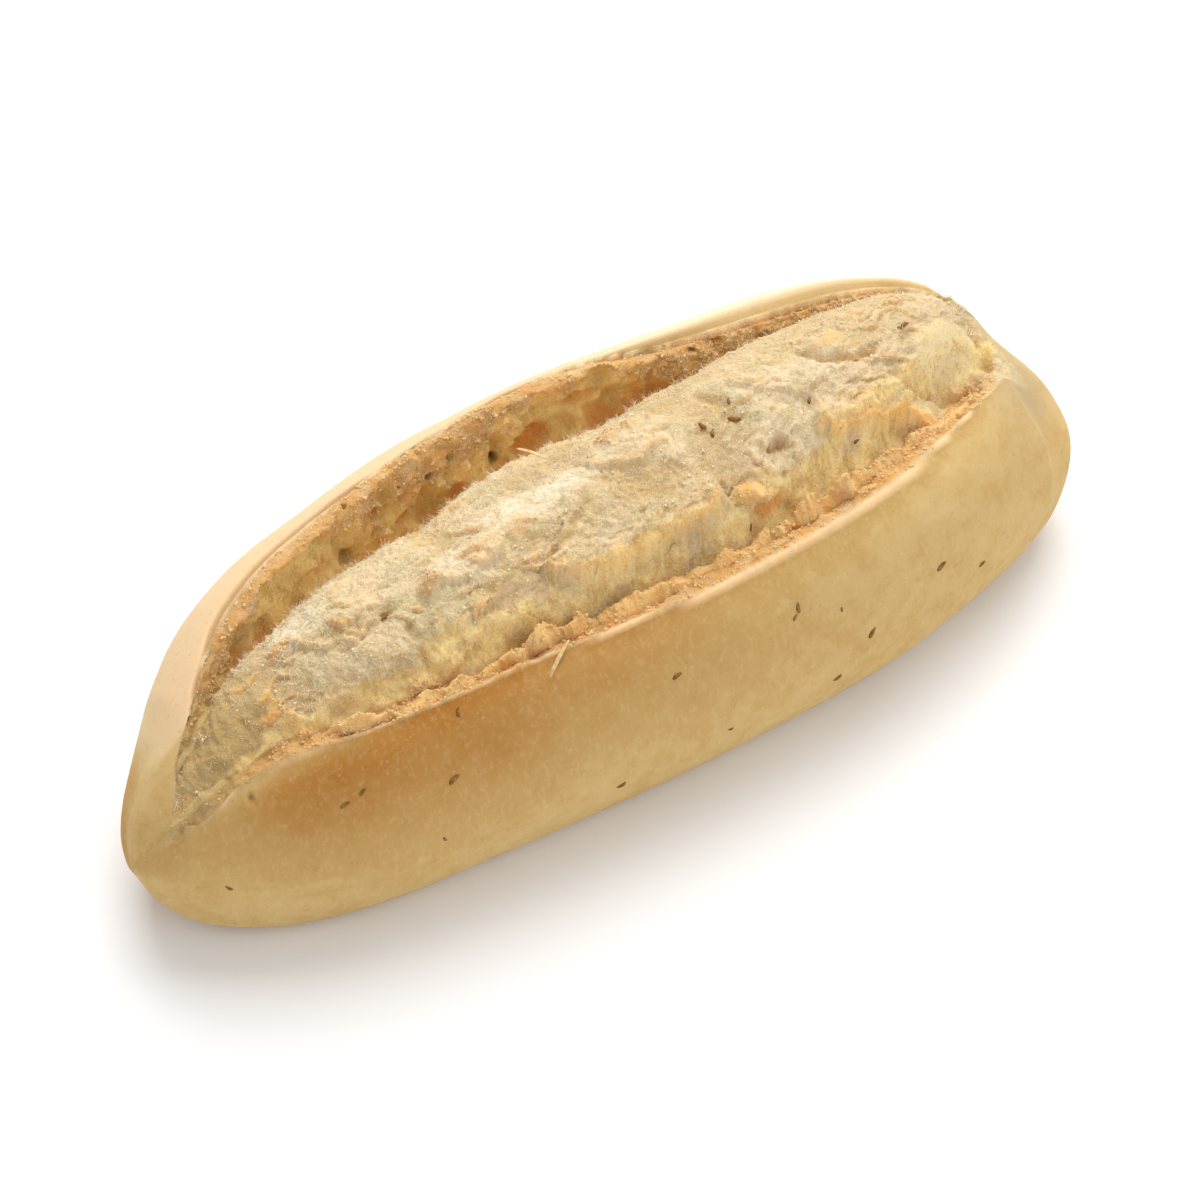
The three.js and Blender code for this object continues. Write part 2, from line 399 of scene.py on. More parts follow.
# Ledges of torn crumb: the line of the edge seen from above in mm (x, y), with the higher side
# on its left, how high it stands, how wide its face is, how far its back runs out, how golden.
LEDGES = [
    ([(-20, -12), (-18, -16), (-10, -18), (4, -18.8), (14, -18.6), (21, -17.6)], 4.2, 0.7, 7, 0.5),
    ([(42, -12), (47, -15), (54, -14.8), (60, -14.6), (66, -14.6), (69.5, -18)], 4.2, 0.8, 5, 1),
    ([(-71.2, -15), (-72.3, -11.7), (-73.6, -8.5), (-74.5, -4)], 1.8, 0.7, 4, 0.6),
    ([(-44, -12), (-38, -14.5), (-30, -13.5), (-26, -10)], 1.6, 0.9, 5, 0.2),
    ([(-41, -4), (-34, -8), (-27, -7.5), (-22, -4)], 1.5, 0.8, 4, 0.2),
    ([(-1, 5), (3, -1), (9, -3.5), (16, -2)], 1.5, 0.8, 5, 0.2),
    ([(-66, 2), (-62, -4), (-55, -7)], 1.2, 0.8, 5, 0.2),
    ([(33, 4), (39, -4), (46, -7), (52, -5)], 1.2, 1, 6, 0.1),
]
# Lumps of granular crumb: centre in mm, half sizes, height, and how golden.
LUMPS = [
    ((-28.3, -5, 54.4), (4.6, 3.4, 4), 1.5, 0.5),
    ((-18, -4, 55), (3.8, 2.2, 3), 0.9, 0.6),
    ((7, 4.4, 55), (3.4, 2.4, 3), 1.2, 0.8),
    ((11.5, 6.4, 54.5), (4.4, 3, 3), 0.8, 0.35),
    ((-39, -5.4, 53.6), (3.6, 3, 3), 1.3, 0.5),
    ((-42.4, -17, 47), (4.4, 3, 5), 1.8, 0.2),
    ((-49.6, -17.8, 43.5), (5, 3.2, 4), 2.2, 0.8),
    ((-68.5, 2, 48), (5, 2, 3), 0.8, 0.7),
    ((-76.5, -9, 44.8), (3.4, 2.4, 3), 0.9, 0.9),
    ((66, -16, 43.5), (4, 2.6, 4), 1.2, 0.7),
    ((-55, -3, 51.2), (5, 4, 4), 0.9, 0.1),
]
# Narrow creases in the crumb: their line, depth and width.
CREASES = [
    ([(-19, -13), (-13, -10.5), (-6, -7), (-3, -2)], 1, 1),
    ([(21, -19), (20.8, -16), (20.2, -13)], 1.6, 0.6),
    ([(47, 4), (53, -2), (60, -4.5), (66, -3.5)], 1.5, 0.9),
    ([(63, -9), (68, -11), (75, -12.5), (83, -13), (87, -10)], 1.8, 0.8),
    ([(88, -12), (90, -6), (91.5, 1), (93, 6)], 1.8, 1),
    ([(28, -6), (30, 0), (27, 6)], 1.2, 1.6),
    ([(-40, -1), (-30, 2), (-22, 1)], 1, 1.2),
    ([(-62, -2), (-52, -6), (-46, -4)], 0.9, 1.4),
    ([(-47, -8), (-46, -13), (-46.5, -17)], 1.2, 0.9),
    ([(-93, -14), (-97.5, -12.6), (-101, -13)], 1.2, 0.7),
]
# Smooth skins of gas bubbles: centre in mm, half sizes, and how far they bulge or sink.
FILMS = [
    ((79, -6, 46), (13, 6.5, 9), 0.6),
    ((70, -16, 41), (8, 4, 5), 0),
    ((-58, 13, 42), (12, 4, 6), 0.8),
    ((-63, -13, 44), (6, 4, 4), -1),
]
# Holes: centre in mm, half sizes, depth, and how their inside is painted, from the painted shade of a
# brown pore (-1) to the painted glow and shade of an orange cave (1).
HOLES = [
    ((34.6, -13, 53.6), (3, 2.2, 2.4), 3.2, 0.15),
    ((28.2, -19.4, 46.2), (4.6, 3, 3), 1.3, 1),
    ((68, -16.8, 41.5), (3, 2.4, 2.2), 2, 0.7),
    ((4, 26.4, 37.6), (6, 3.4, 3.4), 3.8, 1),
    ((16, 26.8, 42.5), (6, 2.4, 1.8), 1.6, 0.8),
    ((-3.8, 26.6, 37), (1.4, 1.4, 1.2), 1.8, -0.9),
    ((-13.3, 25.3, 35.2), (3, 2.4, 1.8), 1.8, 0.9),
    ((-20.3, 27.1, 41), (1.3, 1.4, 1.2), 1.8, -0.7),
    ((-26, 24.6, 36.5), (3, 2.6, 1.6), 1.8, 0.8),
    ((-33.9, 24.6, 41.1), (1.8, 1.8, 2.2), 2.4, 1),
    ((-40.9, 21.5, 37.2), (2.6, 2.4, 2), 1.8, -0.4),
    ((-49, 19.6, 38.8), (6, 4, 2.6), 2.2, 0.15),
    ((-71, 11, 38.7), (2.4, 3, 2.4), 1.2, 0.8),
    ((-22, 25.9, 48.4), (2.8, 1.3, 1.3), 2, 0.4),
    ((-22, 25, 43.5), (1.2, 1.6, 1.2), 1.8, -0.6),
    ((8.3, 27.6, 49), (1, 1, 1), 1.6, -0.6),
    ((38.4, 22.4, 45.7), (1.2, 1.2, 1.2), 1.6, -0.5),
    ((44, 21.5, 46), (3, 2, 2), 1.6, 0.6),
    ((-85.8, -17.2, 38), (1.6, 0.9, 1), 1.6, 0.4),
    ((-49, -5, 52.6), (1.2, 1.2, 1.2), 0.8, -0.5),
]
# Patches of the crumb that are paler (above 0) or darker (below 0): centre in mm and half sizes.
PATCHES = [
    ((-12, 2, 54.5), (20, 8, 8), 1),
    ((-30, -5, 54), (10, 6, 6), 0.7),
    ((56, -7, 54), (18, 9, 8), 0.8),
    ((-64, 3, 48.5), (14, 5, 7), 0.9),
    ((36, -14, 52), (12, 6, 8), 0.6),
    ((3, -9, 54.5), (17, 9, 8), -1),
    ((-80, -7, 44), (18, 11, 9), -1),
    ((92, -3, 46), (15, 18, 14), -1),
    ((-58, -9, 49), (12, 8, 8), -0.4),
    ((26, -6, 56), (9, 8, 6), -0.6),
]
# Where the crumb begins and ends, as places around the section.
CRUMB_START = [
    (-1, 8.2), (-0.93, 7.9), (-0.87, 7.5), (-0.8, 7.25), (-0.6, 7.2), (-0.3, 7.3), (-0.05, 7.0),
    (0.1, 6.8), (0.3, 6.8), (0.6, 7.0), (0.75, 7.6), (1, 8.2),
]
CRUMB_END = [
    (-1, 8), (-0.95, 9.5), (-0.92, 13), (-0.88, 18), (-0.83, 20.6), (-0.75, 21.6), (-0.6, 21.9),
    (-0.4, 21.9), (-0.2, 21.4), (0, 21.9), (0.16, 21.3), (0.26, 20.5), (0.4, 20.3), (1, 20.3),
]
# Edge of the shelf that runs inside the back lip, as a place around the section.
SHELF_EDGE = [
    (-1, 18.4), (-0.66, 18.7), (-0.57, 19.8), (-0.48, 19.9), (-0.4, 19.2), (-0.3, 18.9),
    (-0.13, 18.8), (0.02, 19.2), (0.18, 19.4), (0.27, 19.0), (0.36, 18.3), (1, 18.2),
]
# Places around the section where the strip, the front wall and the mound end.
STRIP_END = 10.4
WALL_CREST = 12.0
MOUND_END = 16.2
# Places where each of these begins, is full, fades and is gone. The back wall ends at the shelf.
BACK_WALL_START = (16.5, 17.1)
FRINGE = (13.8, 15.0, 16.4, 17.0)
FRONT_FLANK = (3.4, 6.4, 8.5, 11)
BACK_ROLL = (20.5, 21.5, 23.5, 25.5)
ASHEN_END = (4.8, 7.0, 17, 20)
# How far, in mm, and which way the shelf leans out over the wall.
SHELF_REACH = 3.8
SHELF_WAY = np.array([0.0, -0.64, 0.77])


def line_distance(points, line):
    """Signed distance in plan to a polyline, positive on its left, and the share along it."""
    flat = points[:, :2]
    best = np.full(len(flat), 1e9)
    side = np.zeros(len(flat))
    share = np.zeros(len(flat))
    total = len(line) - 1
    for i in range(total):
        start = np.array(line[i], float)
        run = np.array(line[i + 1], float) - start
        t = np.clip((flat - start) @ run / (run @ run), 0, 1)
        away = flat - start - t[:, None] * run
        distance = np.linalg.norm(away, axis=1)
        closer = distance < best
        turn = run[0] * (flat[:, 1] - start[1]) - run[1] * (flat[:, 0] - start[0])
        best = np.where(closer, distance, best)
        side = np.where(closer, np.sign(turn), side)
        share = np.where(closer, (i + t) / total, share)
    return best * side, share


def near(points, centre, size, core=0.35):
    """1 around a centre, falling smoothly to 0 at the given half sizes."""
    distance = np.linalg.norm((points - centre) / size, axis=1)
    return 1 - smooth(core, 1.0, distance)


def wobble(points, size, amount, seed):
    """The points moved about by noise, so that features drawn in them look torn."""
    return points + amount * np.stack([noise(points / size, seed + axis) for axis in range(3)], axis=1)


def scarp(part, face):
    """A step up over the face, then an even slope down, for a share of the way from 0 to 1."""
    return smooth(0.0, face, part) * (1 - part) - 0.4


def mound_relief(p):
    """Plates and puffs of torn crumb, and the edges of the plates."""
    w = wobble(wobble(p, 7, 2.2, 21), 1.8, 0.6, 22)
    folds = 1.5 * rough(p / (18, 13, 13), 2, seed=24)
    puff = 1.1 * (puffs(w / (5.4, 4.2, 4.2), 3, seed=25) - 0.33)
    level = (w[:, 1] + 0.3 * w[:, 0]) / 6.5 + 1.2 * rough(w / (16, 10, 10), 2, seed=28)
    part = level - np.floor(level)
    raised = smooth(-0.05, 0.4, rough(p / 10, 2, 29))
    plate = raised * scarp(part, 0.07)
    level = (w[:, 1] - 0.5 * w[:, 0]) / 3.0 + 1.1 * rough(w / 6, 2, seed=32)
    flake = smooth(-0.1, 0.4, rough(p / 6, 2, seed=33)) * scarp(level - np.floor(level), 0.12)
    torn = 0.3 * rough(w / 1.5, 2, seed=30)
    return folds + puff + plate + 0.5 * flake + torn - 0.3, raised * band(0.06, 0.2, part, 0.05)


def wall_relief(p, seed):
    """Fibres pulled up and down a torn wall."""
    w = wobble(p, 4, 0.8, seed)
    strands = 0.8 * (puffs(w / (1.7, 8.0, 9.0), 2, seed=seed + 3) - 0.3)
    return strands + 0.9 * rough(p / 6.0, 2, seed=seed + 4)


def grain_relief(p):
    """Granular crumb on the strips beside the lips."""
    return 0.7 * (0.55 - cells(p / 1.3, seed=41)) + 0.7 * rough(p / 3.8, 2, seed=42)


def crust_relief(p):
    """Soft dents and a faint pebbling."""
    return 0.4 * rough(p / 26, 2, seed=11) + 0.06 * rough(p / 5, 3, seed=12)


def film_relief(p):
    """How much of each point is the skin of a gas bubble, and how far that bulges."""
    film = np.zeros(len(p))
    bulge = np.zeros(len(p))
    uneven = wobble(p, 6, 1.0, 71)
    for centre, size, height in FILMS:
        film = np.maximum(film, near(uneven, centre, size, core=0.6))
        bulge += height * near(p, centre, size, core=0.0)
    return film, bulge


def line_relief(p, crumb):
    """Ledges and creases: how far they lift the crumb, how much painted shade goes into their cuts and how
    they brown it.
    """
    lift, depth, toast = np.zeros((3, len(p)))
    uneven = wobble(wobble(p, 3, 0.9, 61), 1.2, 0.4, 67)
    for edge, height, face, back, gold in LEDGES:
        distance, share = line_distance(uneven, edge)
        past = np.clip(distance, 0, None)
        ends = window(share, 0, 0.12, 0.88, 1)
        shape = smooth(-face, 0, distance) * np.exp(-past / back)
        lift += height * ends * shape * crumb
        toast += gold * ends * smooth(-0.5, 0.1, distance) * np.exp(-past / 1.2)
    uneven = wobble(p, 3, 0.8, 62)
    for line, deep, width in CREASES:
        distance, share = line_distance(uneven, line)
        ends = window(share, 0, 0.2, 0.8, 1)
        cut = ends * peak(distance, 0, width)
        lift -= deep * cut
        # The cut also gets painted shade.
        depth += 0.6 * cut
    return lift, depth, toast


def hole_relief(p):
    """How deep the holes are, how much of each point gets the painted glow and shade of an orange cave,
    and how much the painted shade of a brown pore.
    """
    dip, glow, pore = np.zeros((3, len(p)))
    uneven = wobble(p, 2, 0.5, 63)
    for centre, size, depth, colour in HOLES:
        inside = near(uneven, centre, size)
        dip = np.maximum(dip, depth * inside)
        glow = np.maximum(glow, inside * colour)
        pore = np.maximum(pore, -inside * colour)
    return dip, glow, pore


def crumb_zones(p, k, s, opened):
    """How much of each point belongs to each part of the slit, and where the parts begin and end."""
    ragged = k + 0.12 * rough(p / 3, 3, seed=1)
    start, end, shelf = (along(profile, s) for profile in (CRUMB_START, CRUMB_END, SHELF_EDGE))
    crumb = window(ragged, start - 0.08, start + 0.08, end - 0.1, end + 0.1)
    crumb *= smooth(0.0, 0.3, opened + 0.08 * rough(p / 4, 3, seed=2))
    niche = smooth(0.62, 0.2, cells(wobble(p, 4, 1.2, 47) / (6, 14, 14), seed=48))
    edge = shelf + 0.8 * niche - 0.3 + 0.4 * rough(p / 5, 2, seed=3) + 0.2 * rough(p / 1.6, 2, seed=4)
    crest = WALL_CREST + 0.6 * rough(p / 7, 3, seed=5)
    sliced = smooth(0.25, 0.6, opened) * (1 - smooth(0.72, 0.84, s))
    return SimpleNamespace(
        start=start, end=end, edge=edge, crumb=crumb, niche=niche, sliced=sliced,
        folded=sliced * (1 - 0.7 * smooth(0.0, 0.4, s)),
        deep=np.clip(along(GROOVE_DEPTH, s) / 12, 0, 1) * smooth(0.25, 0.6, opened),
        strip=band(start + 0.1, STRIP_END, k),
        front_wall=band(STRIP_END, crest, k),
        mound=band(crest, MOUND_END, k),
        back_wall=window(k, *BACK_WALL_START, edge - 0.15, edge + 0.15),
        shelf=window(k, edge - 0.15, edge + 0.15, end - 0.2, end),
        stringy=smooth(-0.62, -0.8, s),
        left=smooth(-0.45, -0.75, s),
    )


def torn_relief(p, k, s, z, film):
    """How far the crumb stands out, the grain in it and the rims of its plates."""
    mound, rims = mound_relief(p)
    mound = mix(mound, 1.4 * wall_relief(p, 46), z.stringy)
    mound = mix(mound, 0.5 * mound - 1.1, window(k, *FRINGE) * smooth(-0.1, 0.35, s))
    back_wall = wall_relief(p, 36) - 1.8 * z.niche * z.deep
    grain = grain_relief(p)
    granular = z.strip + z.shelf
    torn = z.front_wall * wall_relief(p, 31) + z.mound * mound + z.back_wall * back_wall
    torn = (torn + granular * grain) / (z.front_wall + z.mound + z.back_wall + granular + 1e-6)
    fuzz = 0.2 * (puffs(wobble(p, 1.5, 0.4, 65) / 1.1, 2, seed=66) - 0.3)
    return (torn + fuzz) * (1 - 0.85 * film), grain, rims


def with_lips(lift, k, z):
    """The lift with the crust's edges standing up a little, and a trough inside each."""
    lift = lift + z.sliced * (0.5 * peak(k, z.start - 0.06, 0.1) - 0.3 * peak(k, z.start - 0.5, 0.3))
    lift = lift - z.sliced * (1 - 0.8 * z.left) * band(z.start + 0.35, 9.3, k, 0.3)
    lift = lift + z.sliced * (0.5 * peak(k, z.end, 0.12) - 0.6 * peak(k, z.end - 0.3, 0.2))
    return lift - z.folded * 1.1 * peak(k, z.end + 0.22, 0.15)


def crust_masks(p, k, s, z):
    """How browned, milky and ashen the crust is, where its rims run, and where painted shade goes: below
    the front lip and along the fold at the back lip's edge.
    """
    front = window(k, *FRONT_FLANK)
    roll = window(k, *BACK_ROLL)
    tip = smooth(-0.8, -0.94, s)
    # All places around the section meet at the tip, so what differs between them fades there.
    meeting = smooth(0.86, 0.98, s + 0.03 * rough(p / 8, 3, seed=86))
    baked = smooth(0.45, -0.75, s) * front * (1 - 0.85 * smooth(-0.72, -0.9, s))
    baked -= 1.2 * roll * (1 - tip) * (1 - 0.8 * meeting)
    # Darker low on the back near the left tip.
    baked += 0.5 * smooth(-0.8, -0.95, s) * smooth(22, 24, k)
    # Painted shade in a band just below the front lip, which dulls the highlight on its rounding; towards
    # the left end the band turns paler instead.
    baked += (0.2 - 0.9 * z.left) * z.sliced * peak(k, z.start - 0.3, 0.45)
    baked += 0.12 * rough(p / 30, 2, seed=81)
    rims = band(z.start - 0.15, z.start, k, 0.05) + 0.6 * band(z.end - 0.06, z.end + 0.06, k, 0.05)
    return dict(
        bake=np.clip(baked, -1, 1),
        milky=roll * mix(0.45, 1.0, smooth(-0.1, 0.5, s)) * (1 - tip) * (1 - 0.8 * smooth(0.82, 0.94, s)),
        ashen=smooth(0.7, 0.9, s) * window(k, *ASHEN_END) * (1 - 0.7 * meeting),
        rim=z.sliced * rims,
        # Painted shade along the fold at the back lip's edge.
        seam_shade=z.folded * smooth(z.end + 0.08, z.end + 0.16, k) * smooth(z.end + 0.5, z.end + 0.2, k),
    )


def dress(points, place, opening, x_share):
    """Moves the points along their normals and gives them, as a flat list, with the colour masks."""
    normals = grid_normals(points).reshape(-1, 3)
    count, around = points.shape[:2]
    p = points.reshape(-1, 3)
    k = np.tile(place, count)
    s = np.repeat(x_share, around)
    z = crumb_zones(p, k, s, np.repeat(opening, around))

    film, bulge = film_relief(p)
    film *= z.crumb
    torn, grain, rims = torn_relief(p, k, s, z, film)
    torn += bulge
    gold = np.clip(z.strip + 0.9 * z.shelf, 0, 1) * (1 - smooth(0.74, 0.86, s))
    gold *= mix(0.1, 1, smooth(-0.9, -0.68, s))
    uneven = wobble(p, 2.5, 0.9, 68)
    for centre, size, height, golden in LUMPS:
        inside = near(uneven, centre, size, core=0.3) * z.crumb
        torn += height * inside + 0.5 * inside * grain
        gold = np.maximum(gold, golden * inside)
    dip, glow, pore = hole_relief(p)
    relief = mix(crust_relief(p), torn, z.crumb) - dip
    # The sole and what is close to it stay plain.
    relief = relief * smooth(6.0, 9.0, p[:, 2])

    moved = p + relief[:, None] * normals
    out = smooth(z.end - 0.2, z.edge + 0.1, k) * smooth(z.edge - 0.35, z.edge - 0.05, k)
    moved += (SHELF_REACH * z.deep * out * smooth(-0.82, -0.6, s))[:, None] * SHELF_WAY
    lift, depth, toast = line_relief(p, z.crumb)
    moved[:, 2] = np.maximum(moved[:, 2] + with_lips(lift, k, z), 0)

    toast += 0.5 * rims * z.mound + 0.8 * z.deep * peak(k, z.edge + 0.08, 0.09)
    # Painted shade: crumb that sinks below its surroundings is darkened, less on the back wall.
    hollow_shade = smooth(0.1, -0.9, torn) * (0.6 - 0.5 * z.back_wall)
    shade = sum(pale * near(p, centre, size, core=0.1) for centre, size, pale in PATCHES)
    bottom = smooth(18.3, 17.4, k - 0.6 * smooth(0.0, 0.25, s) + 0.5 * rough(p / 5, 2, seed=84))
    # The back wall deep in the groove gets painted glow: a brighter, warmer colour that stands in for
    # light soaking through the thin torn crumb.
    deep_back_wall = z.back_wall * z.deep
    return moved, dict(
        crumb=z.crumb,
        film=film,
        pore=pore,
        painted_wall_glow=deep_back_wall,
        grain=gold * z.crumb,
        stringy=z.stringy * z.crumb,
        toast=np.clip(toast * z.crumb, 0, 1),
        shade=np.clip(shade, -1, 1),
        hollow_shade=np.clip(depth + hollow_shade * z.crumb, 0, 1),
        # The front wall's colour: partly the toasted crumb's own, partly painted glow.
        wall=z.front_wall * z.crumb * smooth(-0.9, 0.2, rough(p / (9, 9, 4), 2, seed=83)),
        # Painted glow and shade: orange in the caves and at the foot of the back wall deep in the groove.
        cave=np.maximum(glow, 0.85 * deep_back_wall * bottom * smooth(-0.85, -0.6, s)),
        # Where the emission paints glow: the back wall, in patches, less at its foot and in the caves.
        through=deep_back_wall * smooth(-0.5, 0.4, torn + 1.2 * z.niche) * (1 - 0.8 * bottom) * (1 - glow),
        **crust_masks(p, k, s, z),
    )


# ---- Meshes -----------------------------------------------------------------------------


def tube_quads(count, around):
    """Quads between the rings of a closed tube whose points are numbered ring by ring."""
    row, column = np.meshgrid(np.arange(count - 1), np.arange(around), indexing="ij")
    a = (row * around + column).ravel()
    b = (row * around + (column + 1) % around).ravel()
    return np.stack([a, b, b + around, a + around], axis=1)


def mesh_object(name, vertices, faces, material, attributes=None):
    """A mesh from arrays: vertices in mm, faces as lists of corners."""
    data = bpy.data.meshes.new(name)
    corners = np.concatenate([np.asarray(group).ravel() for group in faces])
    sizes = np.concatenate([np.full(len(group), np.asarray(group).shape[1]) for group in faces])
    data.vertices.add(len(vertices))
    data.vertices.foreach_set("co", (np.asarray(vertices) * MM).astype(np.float32).ravel())
    data.loops.add(len(corners))
    data.loops.foreach_set("vertex_index", corners.astype(np.int32))
    data.polygons.add(len(sizes))
    starts = np.concatenate([[0], np.cumsum(sizes)[:-1]])
    data.polygons.foreach_set("loop_start", starts.astype(np.int32))
    data.polygons.foreach_set("use_smooth", np.ones(len(sizes), bool))
    for title, values in (attributes or {}).items():
        layer = data.attributes.new(title, "FLOAT", "POINT")
        layer.data.foreach_set("value", np.asarray(values, np.float32))
    data.update(calc_edges=True)
    data.validate()
    piece = bpy.data.objects.new(name, data)
    bpy.context.collection.objects.link(piece)
    data.materials.append(material)
    return piece


def loaf_piece(material):
    """The skin of the loaf, with its points, normals, masks, places around and opening."""
    spacing = 0.4
    points, place, s, opening = base_surface(spacing)
    moved, masks = dress(points, place, opening, s)
    rows, around = points.shape[:2]
    left_tip = (-LENGTH / 2, moved[:around, 1].mean(), TIP_HEIGHT)
    right_tip = (LENGTH / 2, moved[-around:, 1].mean(), TIP_HEIGHT)
    # This grid runs the other way round, so its quads are turned over.
    quads = np.roll(tube_quads(rows, around)[:, ::-1], 1, axis=1)
    ring = np.arange(around)
    following = (ring + 1) % around
    left = np.stack([np.full(around, rows * around), ring, following], axis=1)
    last = (rows - 1) * around
    right = np.stack([np.full(around, rows * around + 1), last + following, last + ring], axis=1)
    attributes = {name: np.append(values, [0, 0]) for name, values in masks.items()}
    vertices = np.vstack([moved, left_tip, right_tip])
    piece = mesh_object("loaf_skin", vertices, [quads, left, right], material, attributes)
    normals = grid_normals(moved.reshape(rows, around, 3)).reshape(-1, 3)
    return piece, moved, normals, masks, np.tile(place, rows), np.repeat(opening, around)


# ---- Torn ridges ------------------------------------------------------------------------

UPRIGHT = (0, -0.1, 1)
FORWARD = (0.1, -0.8, 0.5)
# Ridges of torn crumb that stand on the loaf. Each runs through its roots (x in mm, place around
# the section, height), leans its way, and has a thickness and a share of gold.
RIDGES = [
    dict(
        roots=[
            (-70, 8.8, 0), (-66, 9.2, 2), (-64, 9.3, 3.2), (-61, 9.2, 2.4), (-58, 8.9, 1.4), (-54, 8.6, 0),
        ],
        lean=UPRIGHT, thick=1, gold=0.7,
    ),
    dict(
        roots=[(-56, 8.7, 0), (-52, 8.8, 1), (-47, 9, 1.6), (-43, 9.1, 1.6), (-39, 9.2, 0)],
        lean=UPRIGHT, thick=1.3, gold=0.9,
    ),
    dict(
        roots=[
            (-41, 9, 0), (-37, 9.3, 1.4), (-33, 9.6, 3.6), (-28, 9.8, 5.6), (-23, 9.9, 7.2),
            (-20, 9.9, 7.2), (-16, 9.7, 4.8), (-12, 9.5, 3.6), (-7, 9.4, 2.8), (0, 9.5, 3.5),
            (4, 9.5, 3.5), (10, 9.5, 2.7), (17, 9.6, 3.6), (24, 9.7, 3.4), (26, 9.7, 0),
        ],
        lean=UPRIGHT, thick=1.5, gold=0.85,
    ),
    dict(
        roots=[
            (23, 9.5, 0), (27, 9.7, 4.2), (31, 9.9, 7), (36, 9.9, 7.4), (41, 9.9, 6.4), (46, 9.9, 5.4),
            (51, 9.9, 4.2), (55, 9.8, 3.4), (60, 9.7, 2.6), (66, 9.5, 2), (72, 9.2, 1.4), (80, 8.8, 0),
        ],
        lean=UPRIGHT, thick=1.6, gold=0.8,
    ),
    dict(
        roots=[(20.8, 12, 0), (22.5, 12, 2.4), (25, 11.9, 3.2), (28, 11.8, 2.4), (31.5, 11.6, 0)],
        lean=FORWARD, thick=1.5, gold=0.8,
    ),
]
RIDGE_SIDES = 24
# How much wider a ridge's foot is on its outer side, how far its edge curls, how deep it is rooted.
FOOT_SPREAD = 2.0
EDGE_CURL = 1.8
ROOT_DEPTH = 2.0


def ridge_tube(ridge, index, spacing):
    """One ridge as a closed tube (along, around, 3), and how near each point is to the free edge."""
    roots = np.array(ridge["roots"], float)
    known = np.linspace(0, 1, len(roots))
    count = int(np.sum(np.hypot(*np.diff(roots[:, :2] * (1, 3), axis=0).T)) / spacing) + 2
    t = np.linspace(0, 1, count)
    x, k, rise = (along(np.column_stack([known, column]), t) for column in roots.T)
    base = spots(x, k)
    ends = np.sqrt(np.clip(1 - np.abs(2 * t - 1) ** 6, 0, 1))
    ragged = 0.85 + 0.75 * rough(base / (7, 4, 4), 4, seed=90 + index)
    rise = rise * np.clip(ragged, 0.25, None)

    up = unit(np.array(ridge["lean"], float))
    across = np.cross(unit(np.gradient(base, axis=0)), up)

    turn = np.linspace(0, 2 * math.pi, RIDGE_SIDES, endpoint=False)
    level = (1 - np.cos(turn)) / 2
    foot = np.where(np.sin(turn) > 0, FOOT_SPREAD, 1.0)
    width = ridge["thick"] * np.sin(turn) * mix(1.25 * foot, 0.65, level)
    height = (np.clip(rise, 0, None)[:, None] + ROOT_DEPTH) * level - ROOT_DEPTH
    curl = EDGE_CURL * noise(base / 4.5, 120 + index)[:, None] * level**2
    sideways = ends[:, None] * (width + curl)
    points = base[:, None] + height[..., None] * up + sideways[..., None] * across[:, None]
    flat = points.reshape(-1, 3)
    for size, amount, seed in ((4.5, 1.0, 110), (1.3, 0.25, 130), (0.6, 0.15, 140)):
        flat = wobble(flat, size, amount, seed + index)
    return flat.reshape(points.shape), np.tile(level, count)


def tube_piece(name, tubes, material, masks=None):
    """One mesh of closed tubes with capped ends, each a grid of points (along, around, 3)."""
    quads, ends = [], []
    start = 0
    for tube in tubes:
        count, sides = tube.shape[:2]
        quads.append(start + tube_quads(count, sides))
        ring = np.arange(sides)
        ends.append(np.stack([start + ring[::-1], start + (count - 1) * sides + ring]))
        start += count * sides
    vertices = np.concatenate([tube.reshape(-1, 3) for tube in tubes])
    return mesh_object(name, vertices, [np.concatenate(quads), np.concatenate(ends)], material, masks)


def ridge_piece(material):
    """All torn ridges as one mesh, and its points."""
    spacing = 0.25
    tubes, levels = zip(*(ridge_tube(ridge, index, spacing) for index, ridge in enumerate(RIDGES)))
    points = np.concatenate([tube.reshape(-1, 3) for tube in tubes])
    level = np.concatenate(levels)
    gold = np.repeat([ridge["gold"] for ridge in RIDGES], [len(part) for part in levels])
    tip = smooth(0.35, 0.95, level + 0.25 * noise(points / 2.5, 150))
    masks = dict(
        crumb=np.ones(len(points)),
        grain=gold * 0.5,
        # Some painted glow on the thin ridges, for light soaking through them.
        painted_wall_glow=np.full(len(points), 0.3),
        toast=np.clip(0.8 * gold * tip * (0.7 + 0.6 * noise(points / 3, 151)), 0, 1),
        # Painted glow and shade: orange low on the ridges, in patches.
        cave=0.8 * smooth(0.0, 0.4, noise(points / 2.6, 152)) * smooth(0.95, 0.7, level),
    )
    return tube_piece("torn_ridges", tubes, material, masks), points


# ---- Fibres and granules ----------------------------------------------------------------


def directions(count, random):
    """Random unit vectors."""
    return unit(random.normal(size=(count, 3)))


